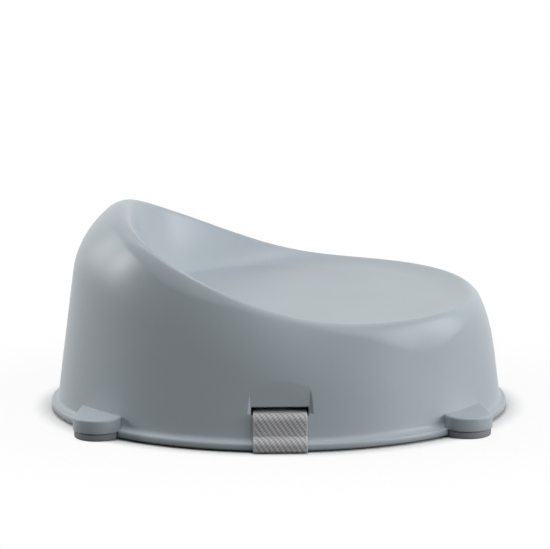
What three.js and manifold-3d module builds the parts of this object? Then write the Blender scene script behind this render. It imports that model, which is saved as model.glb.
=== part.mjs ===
// Chair booster seat: a moulded plastic shell on four rubber feet, with a webbing strap that
// runs through a slot in each side, round the chair below and back to a side-release buckle.
// Millimetres, +Z up, +X towards the sitter's front. The origin is on the rest plane, below the
// middle of the base. The source measures the strap's least gap to itself and prints it.

import * as THREE from 'three';
import { mergeVertices } from 'three/addons/utils/BufferGeometryUtils.js';
import { ConvexGeometry } from 'three/addons/geometries/ConvexGeometry.js';
import Module from 'manifold-3d';

// Base and seat
const baseLength = 345;
const baseWidth = 300;
const lipReach = 5.2;
const lipFall = 2.6;
const lipBottom = 1.4;
const lipFace = 5.8;
const backHeight = 158.4;
const seatHeight = 85;
const seatCrown = 1.2;
const frontRise = 4.8;
const wall = 3;
const draft = 7;
const edgeBevel = 0.7;

// Ridge that runs round the seat, as insets from the base's edge, and the floor inside it
const seatCentre = 20;
const ridgeInsetRear = 58.2;
const ridgeInsetFront = 26.3;
const ridgeInsetSide = 26;
const squarenessRear = 2.9;
const squarenessFront = 2.37;
const ridgeSweep = 4.67;
const crownSpread = 0.88;
const ridgeRound = 6;
const crownRound = 15;
const coveRear = 34.3;
const coveFront = 31;
const coveSide = 24;
const coveSteepness = 2.1;
const shoulderRear = 54;
const shoulderSide = 54;
const shoulderFront = 52;
const tiltRear = 22;
const tiltSide = 36;
const tiltFront = 40;
const shoulderSpread = 0.3;
const ridgeRear = baseLength / 2 + seatCentre - ridgeInsetRear;
const ridgeFront = baseLength / 2 - seatCentre - ridgeInsetFront;
const ridgeHalfWidth = baseWidth / 2 - ridgeInsetSide;

// Lugs with a cup below for each foot
const lugX = 0.4 * baseLength;
const lugY = 0.32 * baseWidth;
const lugRadius = 18.5;
const lugTop = 16.8;
const lugWall = 2.6;
const lugLean = 12;
const lugBevel = 0.8;
const footHeight = 6.3;
const footPlug = 4.6;
const footInset = 1.4;
const footChamfer = 1.2;

// Ribs below the seat
const ribThickness = 2.2;
const ribDepth = 16;
const ribSpacing = 76;
const ribRear = -38;
const ribFront = 62;

// Webbing
const strapPlace = -3.4;
const webbing = 40;
const webbingThickness = 1.8;
const layerGap = 0.5;
const foldLayers = 5;
const foldRoom = 13;
const foldStep = 6;
const sewnLength = 30;
const slopeLength = 19;
const lipStandOff = 2;

// Bend radii along the middle of the webbing
const runBend = 20;
const slopeBend = 10;
const wallBend = 8;
const lipBend = 5;
const slotBend = 2.4;
const edgeBend = 1.4;

// Strap slot and the flat recess that it lies in
const sidePlay = 1.2;
const slotWidth = webbing + 2 * sidePlay;
const slotHeight = webbingThickness + 3.9;
const slotBottom = 26.3;
const slotRound = 1.4;
const recessTop = seatHeight - 25;
const recessWidth = slotWidth + sidePlay;
const recessFlare = 5.5;
const cheekLean = 14;

// Buckle, in its own frame: the plug goes in along -Y from the mouth at Y 0
const railWidth = 4.4;
const buckleWidth = webbing + sidePlay + 2 * railWidth;
const socketHeight = 13;
const socketWall = 2.6;
const mouthDepth = 16;
const mouthHalf = buckleWidth / 2 - 6.5;
const windowLength = 15;
const waistIn = 4;
const cornerRound = 2;
const barDepth = 5;
const barHeight = 4;
const barSlot = webbingThickness + 3.7;
const plugHeight = 7;
const plugShoulder = 6;
const plugSlot = webbingThickness + 2.7;
const prongLength = 34;
const prongArm = 3.2;
const prongFlare = 3.4;
const catchDepth = 2.7;
const tongueHalf = 3.2;

// Elastic keeper round the folded surplus
const keeperWidth = 12;
const keeperThickness = 1.2;
const keeperInset = 37;

// Clearances
const clearance = 0.3;
const overshoot = 4;

// Facet counts
const stations = 64;
const footFacets = 24;
const bendStep = 30;

const plastic = new THREE.MeshStandardMaterial({ color: 0x9eaab1, roughness: 0.55, metalness: 0 });
const rubber = new THREE.MeshStandardMaterial({ color: 0x2b2d2f, roughness: 0.9, metalness: 0 });
const fabric = new THREE.MeshStandardMaterial({ color: 0x9b9c9f, roughness: 0.95, metalness: 0 });
const buckleGrey = new THREE.MeshStandardMaterial({ color: 0x6d7479, roughness: 0.5, metalness: 0 });
const elastic = new THREE.MeshStandardMaterial({ color: 0x55585b, roughness: 0.9, metalness: 0 });

const wasm = await Module();
wasm.setup();

const group = new THREE.Group();

function addPiece(name, geometry, material, parent = group) {
  const mesh = new THREE.Mesh(geometry, material.clone());
  mesh.name = name;
  parent.add(mesh);
  return mesh;
}

function radians(angle) {
  return THREE.MathUtils.degToRad(angle);
}

// Closed solids in and out of the boolean library

function solid(geometry) {
  const bare = geometry.index ? geometry.clone() : geometry;
  bare.deleteAttribute('normal');
  bare.deleteAttribute('uv');
  const joined = mergeVertices(bare, 1e-5);
  const mesh = new wasm.Mesh({
    numProp: 3,
    vertProperties: new Float32Array(joined.attributes.position.array),
    triVerts: new Uint32Array(joined.index.array),
  });
  return new wasm.Manifold(mesh);
}

function geometryOf(manifold) {
  const mesh = manifold.getMesh();
  const geometry = new THREE.BufferGeometry();
  geometry.setAttribute('position', new THREE.BufferAttribute(mesh.vertProperties, 3));
  geometry.setIndex(new THREE.BufferAttribute(mesh.triVerts, 1));
  geometry.computeVertexNormals();
  return geometry;
}

function boxSolid(x0, x1, y0, y1, z0, z1) {
  const box = new THREE.BoxGeometry(x1 - x0, y1 - y0, z1 - z0);
  box.translate((x0 + x1) / 2, (y0 + y1) / 2, (z0 + z1) / 2);
  return solid(box);
}

// A plate in the XY plane between two heights
function plate(shape, bottom, top, bevel = 0) {
  const geometry = new THREE.ExtrudeGeometry(shape, {
    depth: top - bottom - 2 * bevel,
    curveSegments: 4,
    bevelEnabled: bevel > 0,
    bevelSegments: 1,
    bevelSize: bevel,
    bevelThickness: bevel,
    bevelOffset: -bevel,
  });
  geometry.translate(0, 0, bottom + bevel);
  return geometry;
}

// A bar along X whose section is drawn in the YZ plane
function barAlongX(shape, length) {
  const settings = { depth: length, curveSegments: 3, bevelEnabled: false };
  const geometry = new THREE.ExtrudeGeometry(shape, settings);
  geometry.rotateX(Math.PI / 2);
  geometry.rotateZ(Math.PI / 2);
  geometry.translate(-length / 2, 0, 0);
  return geometry;
}

function roundedRectangle(x0, x1, y0, y1, radius) {
  const shape = new THREE.Shape();
  shape.moveTo(x0 + radius, y0);
  shape.lineTo(x1 - radius, y0);
  shape.absarc(x1 - radius, y0 + radius, radius, -Math.PI / 2, 0);
  shape.lineTo(x1, y1 - radius);
  shape.absarc(x1 - radius, y1 - radius, radius, 0, Math.PI / 2);
  shape.lineTo(x0 + radius, y1);
  shape.absarc(x0 + radius, y1 - radius, radius, Math.PI / 2, Math.PI);
  shape.lineTo(x0, y0 + radius);
  shape.absarc(x0 + radius, y0 + radius, radius, Math.PI, 1.5 * Math.PI);
  return shape;
}

// Outlines of the shell, as distances from the seat's centre at an angle round it

function baseReach(angle, inset) {
  const half = baseLength / 2 - inset;
  const side = baseWidth / 2 - inset;
  const c = Math.cos(angle) / half;
  const s = Math.sin(angle) / side;
  const shift = seatCentre / half;
  const square = c * c + s * s;
  return (-c * shift + Math.sqrt(c * c * shift * shift - square * (shift * shift - 1))) / square;
}

function ringReach(angle, front, rear, side) {
  const squareness = Math.cos(angle) > 0 ? squarenessFront : squarenessRear;
  const lengthwise = Math.abs(Math.cos(angle)) / (Math.cos(angle) > 0 ? front : rear);
  const sideways = Math.abs(Math.sin(angle)) / side;
  return (lengthwise ** squareness + sideways ** squareness) ** (-1 / squareness);
}

// A value that changes smoothly from the front over the sides to the rear, sooner in front
function around(angle, front, side, rear) {
  const lengthwise = Math.cos(angle) ** 2;
  if (Math.cos(angle) < 0) {
    return side + (rear - side) * lengthwise;
  }
  const share = (lengthwise * (1 + shoulderSpread)) / (lengthwise + shoulderSpread);
  return side + (front - side) * share;
}

const floorEdge = seatHeight + seatCrown;
const ridgeFrontHeight = floorEdge + frontRise;
const lipTop = lipBottom + lipFace;
const wallFoot = lipTop + lipFall;

function ridgeHeight(angle) {
  const turn = (1 - Math.cos(angle)) / 2;
  const spread = 1 + crownSpread * Math.sin(angle) ** 2;
  return ridgeFrontHeight + (backHeight - ridgeFrontHeight) * turn ** ridgeSweep * spread;
}

function wallReachAt(angle, height) {
  return baseReach(angle, lipReach) - (height - wallFoot) * Math.tan(radians(draft));
}

// The visible skin from the centre of the seat, over the ridge, down to the foot of the wall.
// Each point is a distance from the seat's centre and a height.
function skinProfile(angle) {
  const ridge = new THREE.Vector2(
    ringReach(angle, ridgeFront, ridgeRear, ridgeHalfWidth),
    ridgeHeight(angle),
  );
  const floor = ringReach(
    angle, ridgeFront - coveFront, ridgeRear - coveRear, ridgeHalfWidth - coveSide,
  );
  const drop = ridge.y - floorEdge;
  const cove = (w) => new THREE.Vector2(
    floor + (ridge.x - floor) * w,
    floorEdge + drop * w ** coveSteepness,
  );
  const shoulderBottom = ridge.y - around(angle, shoulderFront, shoulderSide, shoulderRear);
  const wallTop = new THREE.Vector2(wallReachAt(angle, shoulderBottom), shoulderBottom);
  const width = wallTop.x - ridge.x;
  const tilt = radians(around(angle, tiltFront, tiltSide, tiltRear));
  const shoulder = new THREE.CubicBezierCurve(
    ridge,
    new THREE.Vector2(ridge.x + width * 0.5, ridge.y - width * 0.5 * Math.tan(tilt)),
    new THREE.Vector2(
      wallTop.x - (ridge.y - shoulderBottom) * 0.5 * Math.tan(radians(draft)),
      wallTop.y + (ridge.y - shoulderBottom) * 0.5,
    ),
    wallTop,
  );
  const rounding = around(angle, ridgeRound, ridgeRound, crownRound);
  const coveEnd = 1 - rounding / Math.hypot(ridge.x - floor, drop * coveSteepness);
  const shoulderStart = rounding / (1.5 * width);
  const points = [new THREE.Vector2(0, seatHeight)];
  for (const share of [0.4, 0.75]) {
    points.push(new THREE.Vector2(floor * share, seatHeight + seatCrown * share ** 2));
  }
  for (const share of [0, 0.25, 0.45, 0.62, 0.76, 0.89, 1]) {
    points.push(cove(share * coveEnd));
  }
  const crease = new THREE.QuadraticBezierCurve(
    cove(coveEnd), ridge, shoulder.getPoint(shoulderStart),
  );
  for (const share of [0.17, 0.34, 0.5, 0.66, 0.83]) {
    points.push(crease.getPoint(share));
  }
  for (const share of [0, 0.13, 0.27, 0.41, 0.55, 0.7, 0.85, 1]) {
    points.push(shoulder.getPoint(shoulderStart + (1 - shoulderStart) * share));
  }
  for (const height of [(wallTop.y + wallFoot) / 2, wallFoot + 2 * edgeBevel]) {
    points.push(new THREE.Vector2(wallReachAt(angle, height), height));
  }
  return points;
}

// The skin moved into the material by a depth, along its own normal
function sunkSkin(angle, depth, keepEvery = 1) {
  const skin = skinProfile(angle);
  const sunk = [];
  for (let i = 1; i < skin.length; i += 1) {
    if (i % keepEvery !== 0 && i < skin.length - 1) {
      continue;
    }
    const before = skin[i - 1];
    const after = skin[Math.min(i + 1, skin.length - 1)];
    const along = after.clone().sub(before).normalize();
    sunk.push(new THREE.Vector2(skin[i].x + along.y * depth, skin[i].y - along.x * depth));
  }
  sunk.unshift(new THREE.Vector2(0, seatHeight - depth));
  return sunk;
}

// Lip round the base, inside the material by a depth: the outer side has depth 0
function lipProfile(angle, depth) {
  const foot = baseReach(angle, lipReach) - depth;
  const edge = baseReach(angle, 0) - depth;
  return [
    new THREE.Vector2(foot, wallFoot - depth),
    new THREE.Vector2(edge, lipTop - depth),
    new THREE.Vector2(edge, lipBottom),
  ];
}

function shellSection(angle) {
  const edge = baseReach(angle, 0);
  const foot = baseReach(angle, lipReach);
  const outer = [
    ...skinProfile(angle),
    new THREE.Vector2(foot + (edge - foot) / 4, wallFoot - lipFall / 6),
    new THREE.Vector2(edge - edgeBevel, lipTop),
    new THREE.Vector2(edge, lipTop - edgeBevel),
    new THREE.Vector2(edge, lipBottom + edgeBevel),
    new THREE.Vector2(edge - edgeBevel, lipBottom),
  ];
  const inner = [...sunkSkin(angle, wall, 2), ...lipProfile(angle, wall)];
  return [...outer, ...inner.reverse()];
}

// A solid that fills the shell up to a depth inside its skin, down to a flat bottom
function fillSection(angle, depth, bottom) {
  const side = [...sunkSkin(angle, depth, 1), ...lipProfile(angle, depth)];
  side[side.length - 1].y = bottom;
  return [...side, new THREE.Vector2(0, bottom)];
}

// Turns sections round the seat's centre into one closed solid. A section starts and ends there.
function turnedSolid(sectionAt) {
  const rings = sectionAt(0).length - 2;
  const position = [];
  const index = [];
  for (let i = 0; i < stations; i += 1) {
    const angle = (2 * Math.PI * i) / stations;
    for (const point of sectionAt(angle).slice(1, -1)) {
      position.push(seatCentre + point.x * Math.cos(angle), point.x * Math.sin(angle), point.y);
    }
  }
  const section = sectionAt(0);
  const first = stations * rings;
  position.push(seatCentre, 0, section[0].y, seatCentre, 0, section[rings + 1].y);
  for (let i = 0; i < stations; i += 1) {
    const here = i * rings;
    const next = ((i + 1) % stations) * rings;
    index.push(first, here, next);
    index.push(first + 1, next + rings - 1, here + rings - 1);
    for (let j = 0; j < rings - 1; j += 1) {
      index.push(here + j, here + j + 1, next + j + 1);
      index.push(here + j, next + j + 1, next + j);
    }
  }
  const geometry = new THREE.BufferGeometry();
  geometry.setAttribute('position', new THREE.Float32BufferAttribute(position, 3));
  geometry.setIndex(index);
  return solid(geometry);
}

// Seat shell

// The lug's outline: round towards the outside, then tapering back into the wall at its end
function lugShape(sideX, sideY) {
  const lean = radians(lugLean);
  const back = lugY - lugRadius * 3;
  const at = (x, y) => [sideX * (lugX + x), sideY * y];
  const outerX = lugRadius / Math.cos(lean) - (lugY - back) * Math.tan(lean);
  const shape = new THREE.Shape();
  shape.moveTo(...at(outerX, back));
  const steps = 14;
  for (let i = 0; i <= steps; i += 1) {
    const turn = lean + (i / steps) * (Math.PI - lean);
    shape.lineTo(...at(lugRadius * Math.cos(turn), lugY + lugRadius * Math.sin(turn)));
  }
  shape.lineTo(...at(-lugRadius, back));
  return shape;
}

function round(radius, bottom, top, facets = footFacets * 2) {
  const cylinder = new THREE.CylinderGeometry(radius, radius, top - bottom, facets);
  cylinder.rotateX(Math.PI / 2);
  cylinder.translate(0, 0, (top + bottom) / 2);
  return cylinder;
}

const cupTop = lugTop - wall;
const slotTop = slotBottom + slotHeight;
const notchTop = webbingThickness + 3 * clearance;
const sideAngle = Math.atan2(baseWidth / 2 - lipReach, -seatCentre);
const recessPlane = wallReachAt(sideAngle, recessTop) * Math.sin(sideAngle);

function addLugs(shell) {
  const hollow = turnedSolid((angle) => fillSection(angle, wall / 2, 0));
  let result = shell;
  for (const sideX of [-1, 1]) {
    for (const sideY of [-1, 1]) {
      const tab = solid(plate(lugShape(sideX, sideY), footHeight, lugTop, lugBevel));
      const place = [sideX * lugX, sideY * lugY, 0];
      const boss = solid(round(lugRadius - lugBevel / 2, footHeight + lugBevel, lugTop - lugBevel));
      result = result.add(tab.subtract(hollow)).add(boss.translate(place));
    }
  }
  for (const sideX of [-1, 1]) {
    for (const sideY of [-1, 1]) {
      const cup = solid(round(lugRadius - lugWall, 0, cupTop));
      const padRoom = solid(round(lugRadius - footInset + 2 * clearance, 0, footHeight));
      result = result.subtract(cup.add(padRoom).translate([sideX * lugX, sideY * lugY, 0]));
    }
  }
  return result;
}

// Ribs run right across below the seat and up into the hollow backrest and sides
function addRibs(shell) {
  const fill = turnedSolid((angle) => fillSection(angle, wall / 2, 0));
  const reach = baseLength;
  const low = seatHeight - wall - ribDepth;
  const half = ribThickness / 2;
  let ribs = boxSolid(ribRear - half, ribRear + half, -reach, reach, low, backHeight);
  ribs = ribs.add(boxSolid(ribFront - half, ribFront + half, -reach, reach, low, backHeight));
  for (const y of [-ribSpacing / 2, ribSpacing / 2]) {
    ribs = ribs.add(boxSolid(-reach, reach, y - half, y + half, low, backHeight));
  }
  return shell.add(ribs.intersect(fill));
}

// Panel behind each recess, joined to the wall by its cheeks
function addSlotPanels(shell) {
  const fill = turnedSolid((angle) => fillSection(angle, wall / 2, 0));
  const half = (recessWidth + recessFlare) / 2 + wall;
  const [left, right] = [strapPlace - half, strapPlace + half];
  const high = recessTop + wall;
  const low = wallFoot - wall;
  const near = boxSolid(left, right, -baseWidth, -(recessPlane - wall), low, high);
  const far = boxSolid(left, right, recessPlane - wall, baseWidth, low, high);
  return shell.add(near.intersect(fill)).add(far.intersect(fill));
}

// The recess is flat and upright, so it fades out where the drafted wall reaches it. It widens
// upwards, and its cheeks lean outwards.
function recessCutter(side) {
  const depth = baseWidth / 2 + overshoot - recessPlane;
  const lean = depth * Math.tan(radians(cheekLean));
  const corners = [];
  for (const [height, half] of [
    [wallFoot, recessWidth / 2],
    [recessTop + overshoot, (recessWidth + recessFlare) / 2],
  ]) {
    for (const end of [-1, 1]) {
      const y = side * recessPlane;
      corners.push(new THREE.Vector3(strapPlace + end * half, y, height));
      corners.push(new THREE.Vector3(strapPlace + end * (half + lean), y + side * depth, height));
    }
  }
  return solid(new ConvexGeometry(corners));
}

// The lip is notched where the strap passes below it
function notchCutter(side) {
  const half = webbing / 2 + sidePlay;
  const inner = side * (baseWidth / 2 - 2 * wall - lipReach);
  const outer = side * (baseWidth / 2 + overshoot);
  return boxSolid(
    strapPlace - half, strapPlace + half, Math.min(inner, outer), Math.max(inner, outer),
    -overshoot, notchTop,
  );
}

// The slot's edges are rounded so that they don't wear the webbing
function slotCutter(side) {
  const shape = new THREE.Shape();
  const outside = recessPlane;
  const inside = recessPlane - wall;
  const flare = slotRound;
  const arc = (y, z, from, to) => {
    for (let i = 0; i <= 3; i += 1) {
      const turn = from + ((to - from) * i) / 3;
      shape.lineTo(side * (y + flare * Math.cos(turn)), z + flare * Math.sin(turn));
    }
  };
  shape.moveTo(side * (inside - overshoot), slotBottom - flare);
  arc(inside + flare, slotBottom - flare, Math.PI, Math.PI / 2);
  arc(outside - flare, slotBottom - flare, Math.PI / 2, 0);
  shape.lineTo(side * (outside + overshoot), slotBottom - flare);
  shape.lineTo(side * (outside + overshoot), slotTop + flare);
  arc(outside - flare, slotTop + flare, 0, -Math.PI / 2);
  arc(inside + flare, slotTop + flare, -Math.PI / 2, -Math.PI);
  shape.lineTo(side * (inside - overshoot), slotTop + flare);
  return solid(barAlongX(shape, slotWidth)).translate([strapPlace, 0, 0]);
}

function seatShell() {
  let shell = turnedSolid(shellSection);
  shell = addSlotPanels(addRibs(addLugs(shell)));
  for (const side of [-1, 1]) {
    shell = shell.subtract(recessCutter(side)).subtract(slotCutter(side));
    shell = shell.subtract(notchCutter(side));
  }
  return geometryOf(shell);
}

// Foot: a pad that is wider than the lug's cup, with a plug that goes up into the cup
function footGeometry() {
  const pad = lugRadius - footInset;
  const plug = lugRadius - lugWall - clearance;
  const padTop = footHeight - clearance;
  const plugTop = padTop + footPlug;
  const profile = [
    new THREE.Vector2(0, 0),
    new THREE.Vector2(pad - footChamfer, 0),
    new THREE.Vector2(pad - footChamfer / 4, footChamfer / 2),
    new THREE.Vector2(pad, footChamfer),
    new THREE.Vector2(pad, padTop),
    new THREE.Vector2(plug, padTop),
    new THREE.Vector2(plug, plugTop - footChamfer),
    new THREE.Vector2(plug - footChamfer, plugTop),
    new THREE.Vector2(0, plugTop),
  ];
  const geometry = new THREE.LatheGeometry(profile, footFacets);
  geometry.rotateX(Math.PI / 2);
  return geometry;
}

function addFeet() {
  for (const [end, sideX] of [['rear', -1], ['front', 1]]) {
    for (const [hand, sideY] of [['right', -1], ['left', 1]]) {
      const foot = addPiece(`foot_${end}_${hand}`, footGeometry(), rubber);
      foot.position.set(sideX * lugX, sideY * lugY, 0);
    }
  }
}

// Strap

// Heights of the webbing's layers, from the keeper that lies on the rest plane upwards
const halfWeb = webbingThickness / 2;
const layerPitch = webbingThickness + layerGap;
const runHeight = 2 * clearance + keeperThickness + halfWeb;
const tailHeight = runHeight + layerPitch;
const foldBottom = tailHeight + keeperThickness + clearance;
const foldTop = foldBottom + (foldLayers - 1) * layerPitch;
const barBottom = tailHeight + halfWeb + clearance;
const buckleLevel = Math.max(barBottom + barHeight / 2, socketHeight / 2 + 2 * clearance);

// Places of the plug's bars
const slotStart = clearance + plugShoulder;
const middleBar = slotStart + plugSlot;
const endSlot = middleBar + barDepth;
const endBar = endSlot + plugSlot;
const plugEnd = endBar + barDepth;

const rimEdge = baseWidth / 2;
const socketLength = prongLength + 2 * clearance + socketWall + barSlot + barDepth;
const tightBend = clearance + halfWeb;
const stackStart = plugEnd + 8;
const stackEnd = recessPlane - wall - foldRoom;

// A flat path through corners in the YZ plane, each with its own bend radius
function bentPath(corners) {
  const points = [new THREE.Vector2(corners[0][0], corners[0][1])];
  for (let i = 1; i < corners.length - 1; i += 1) {
    const here = new THREE.Vector2(corners[i][0], corners[i][1]);
    const back = new THREE.Vector2(corners[i - 1][0], corners[i - 1][1]).sub(here).normalize();
    const ahead = new THREE.Vector2(corners[i + 1][0], corners[i + 1][1]).sub(here).normalize();
    const open = Math.acos(THREE.MathUtils.clamp(back.dot(ahead), -1, 1));
    const turn = Math.PI - open;
    const tangent = corners[i][2] * Math.tan(turn / 2);
    const start = here.clone().addScaledVector(back, tangent);
    const side = Math.sign(back.x * ahead.y - back.y * ahead.x);
    const normal = new THREE.Vector2(back.y * -side, back.x * side);
    const centre = start.clone().addScaledVector(normal, corners[i][2]);
    const spoke = start.clone().sub(centre);
    const steps = Math.max(1, Math.ceil(THREE.MathUtils.radToDeg(turn) / bendStep));
    for (let k = 0; k <= steps; k += 1) {
      const swing = (-side * turn * k) / steps;
      points.push(spoke.clone().rotateAround(new THREE.Vector2(), swing).add(centre));
    }
  }
  const last = corners[corners.length - 1];
  points.push(new THREE.Vector2(last[0], last[1]));
  return points;
}

// The stretch from below the rim up the outside to the middle of the hollow, for one side
function sideCorners(side) {
  const edge = slotRound + clearance + halfWeb;
  const inside = slotBottom + clearance + halfWeb;
  const under = notchTop - clearance - halfWeb;
  const outer = rimEdge + lipStandOff;
  const wallLine = rimEdge - lipReach - clearance - tightBend / 2;
  return [
    [side * (outer - 16), runHeight, runBend],
    [side * (outer - 8), under, runBend],
    [side * outer, under, edgeBend],
    [side * outer, lipTop + tightBend, lipBend],
    [side * wallLine, wallFoot + lipBend, wallBend],
    [side * (recessPlane - slotRound + edge), inside, slotBend],
  ];
}

// The surplus, folded to and fro in layers with a tight bend between each two
function foldCorners() {
  const turn = 0.499 * layerPitch;
  const corners = [];
  for (let layer = 0; layer < foldLayers - 1; layer += 1) {
    const height = foldBottom + layer * layerPitch;
    const end = layer % 2 === 0 ? stackEnd : stackStart + foldStep;
    corners.push([end, height, turn], [end, height + layerPitch, turn]);
  }
  const last = foldLayers % 2 === 1 ? stackEnd - 2 * foldStep : stackStart + 2 * foldStep;
  return [...corners, [last, foldTop]];
}

function strapCorners() {
  const inside = slotBottom + clearance + halfWeb;
  const bar = socketLength - barDepth;
  const barOut = barHeight / 2 + tightBend;
  const level = -bar - slopeLength;
  const corners = [
    [level - sewnLength, runHeight + layerPitch],
    [level, runHeight + layerPitch, slopeBend],
    [-socketLength - wall, buckleLevel + barOut, lipBend],
    [-bar + tightBend, buckleLevel + barOut, tightBend],
    [-bar + tightBend, buckleLevel - barOut, tightBend],
    [-socketLength - wall, buckleLevel - barOut, slopeBend],
    [level, runHeight, slopeBend],
  ];
  corners.push(...sideCorners(-1));
  corners.push([0, inside, rimEdge]);
  corners.push(...sideCorners(1).reverse());
  corners.push([middleBar - tightBend, runHeight, edgeBend]);
  corners.push([middleBar - tightBend, buckleLevel + barOut, edgeBend]);
  corners.push([endSlot + tightBend, buckleLevel + barOut, edgeBend]);
  corners.push([endSlot + tightBend, tailHeight, edgeBend]);
  corners.push([plugEnd + foldStep / 3, tailHeight, slopeBend]);
  corners.push([stackStart, foldBottom, slopeBend]);
  return [...corners, ...foldCorners()];
}

// Webbing along a path: a flat ribbon with square edges, in one closed body
function ribbon(path) {
  const position = [];
  const index = [];
  path.forEach((point, i) => {
    const before = path[Math.max(i - 1, 0)];
    const after = path[Math.min(i + 1, path.length - 1)];
    const into = point.clone().sub(before).normalize();
    const out = after.clone().sub(point).normalize();
    const along = into.add(out).normalize();
    const straight = after.clone().sub(i > 0 ? point : before).normalize();
    const mitre = i > 0 && i < path.length - 1 ? 1 / Math.max(along.dot(straight), 0.5) : 1;
    for (const [x, half] of [[-1, -1], [1, -1], [1, 1], [-1, 1]]) {
      position.push(
        strapPlace + (x * webbing) / 2,
        point.x - along.y * half * halfWeb * mitre,
        point.y + along.x * half * halfWeb * mitre,
      );
    }
  });
  const last = 4 * (path.length - 1);
  index.push(0, 1, 2, 0, 2, 3, last, last + 2, last + 1, last, last + 3, last + 2);
  for (let i = 0; i < path.length - 1; i += 1) {
    for (let k = 0; k < 4; k += 1) {
      const a = 4 * i + k;
      const b = 4 * i + ((k + 1) % 4);
      index.push(a, a + 4, b + 4, a, b + 4, b);
    }
  }
  const geometry = new THREE.BufferGeometry();
  geometry.setAttribute('position', new THREE.Float32BufferAttribute(position, 3));
  geometry.setIndex(index);
  geometry.computeVertexNormals();
  return geometry;
}

// Least gap between two layers of the webbing, measured on points every half millimetre
function leastGap(path) {
  const samples = [];
  let travelled = 0;
  for (let i = 0; i < path.length - 1; i += 1) {
    const length = path[i].distanceTo(path[i + 1]);
    for (let step = 0; step < length; step += 0.5) {
      samples.push({ at: travelled + step, point: path[i].clone().lerp(path[i + 1], step / length) });
    }
    travelled += length;
  }
  let least = Infinity;
  for (let i = 0; i < samples.length; i += 1) {
    for (let j = i + 1; j < samples.length; j += 1) {
      if (samples[j].at - samples[i].at > 4 * webbingThickness) {
        least = Math.min(least, samples[i].point.distanceTo(samples[j].point) - webbingThickness);
      }
    }
  }
  return { least, travelled };
}

function addStrap() {
  const path = bentPath(strapCorners());
  const { least, travelled } = leastGap(path);
  console.log(`strap: ${travelled.toFixed(0)} mm long, least gap to itself ${least.toFixed(2)} mm`);
  addPiece('chair_strap', ribbon(path), fabric);
}

// Buckle

// Socket outline from above: full width at the mouth and the strap end, waisted at the windows
function socketShape() {
  const half = buckleWidth / 2;
  const waistY = -(mouthDepth + windowLength / 2);
  const shape = new THREE.Shape();
  const far = 2 * cornerRound;
  shape.moveTo(half - cornerRound, 0);
  shape.quadraticCurveTo(half, 0, half, -cornerRound);
  shape.quadraticCurveTo(half, -mouthDepth * 0.55, half - waistIn, waistY);
  shape.quadraticCurveTo(half, waistY - windowLength * 0.9, half, -socketLength + far);
  shape.quadraticCurveTo(half, -socketLength, half - far, -socketLength);
  shape.lineTo(-half + far, -socketLength);
  shape.quadraticCurveTo(-half, -socketLength, -half, -socketLength + far);
  shape.quadraticCurveTo(-half, waistY - windowLength * 0.9, -half + waistIn, waistY);
  shape.quadraticCurveTo(-half, -mouthDepth * 0.55, -half, -cornerRound);
  shape.quadraticCurveTo(-half, 0, -half + cornerRound, 0);
  return shape;
}

const boreHalf = socketHeight / 2 - socketWall;
const prongHeight = 2 * boreHalf - 4 * clearance;
const barStart = -socketLength + barDepth;
const boreEnd = barStart + barSlot + socketWall;

function socketGeometry() {
  let body = solid(plate(socketShape(), -socketHeight / 2, socketHeight / 2, edgeBevel));
  const half = (webbing + sidePlay) / 2;
  const windowEnd = -(mouthDepth + windowLength);
  body = body.subtract(boxSolid(-mouthHalf, mouthHalf, boreEnd, 1, -boreHalf, boreHalf));
  body = body.subtract(
    boxSolid(-buckleWidth, buckleWidth, windowEnd, -mouthDepth, -boreHalf, boreHalf),
  );
  body = body.subtract(
    boxSolid(-half, half, barStart, barStart + barSlot, -socketHeight, socketHeight),
  );
  for (const side of [-1, 1]) {
    const from = (side * barHeight) / 2;
    const low = Math.min(from, side * socketHeight);
    const high = Math.max(from, side * socketHeight);
    body = body.subtract(boxSolid(-half, half, -socketLength - 1, barStart + 1, low, high));
  }
  return geometryOf(body);
}

// Plug: shoulder plate, tongue, side rails and the two bars that the webbing goes round
function plugGeometry() {
  const half = buckleWidth / 2;
  const rail = half - railWidth;
  const shoulder = roundedRectangle(-half, half, clearance, slotStart, cornerRound);
  let body = solid(plate(shoulder, -plugHeight / 2, plugHeight / 2, edgeBevel));
  for (const side of [-1, 1]) {
    const [from, to] = side > 0 ? [rail, half] : [-half, -rail];
    const outline = roundedRectangle(from, to, slotStart - plugShoulder / 2, plugEnd, edgeBend);
    body = body.add(solid(plate(outline, -barHeight / 2, barHeight / 2, edgeBevel)));
  }
  for (const start of [middleBar, endBar]) {
    const section = roundedRectangle(
      start, start + barDepth, -barHeight / 2, barHeight / 2, barHeight / 3,
    );
    body = body.add(solid(barAlongX(section, 2 * rail + railWidth)));
  }
  const tongueEnd = windowLength / 3 - prongLength;
  const tongue = roundedRectangle(
    -tongueHalf, tongueHalf, tongueEnd, plugShoulder / 2, tongueHalf / 2,
  );
  body = body.add(solid(plate(tongue, -prongHeight / 2, prongHeight / 2, edgeBevel)));
  return geometryOf(body);
}

// The prong bends at its root, so the root is round about the hinge line
const hingeDepth = prongArm / 2;
const prongPlace = mouthHalf - clearance - prongFlare - hingeDepth;

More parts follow.
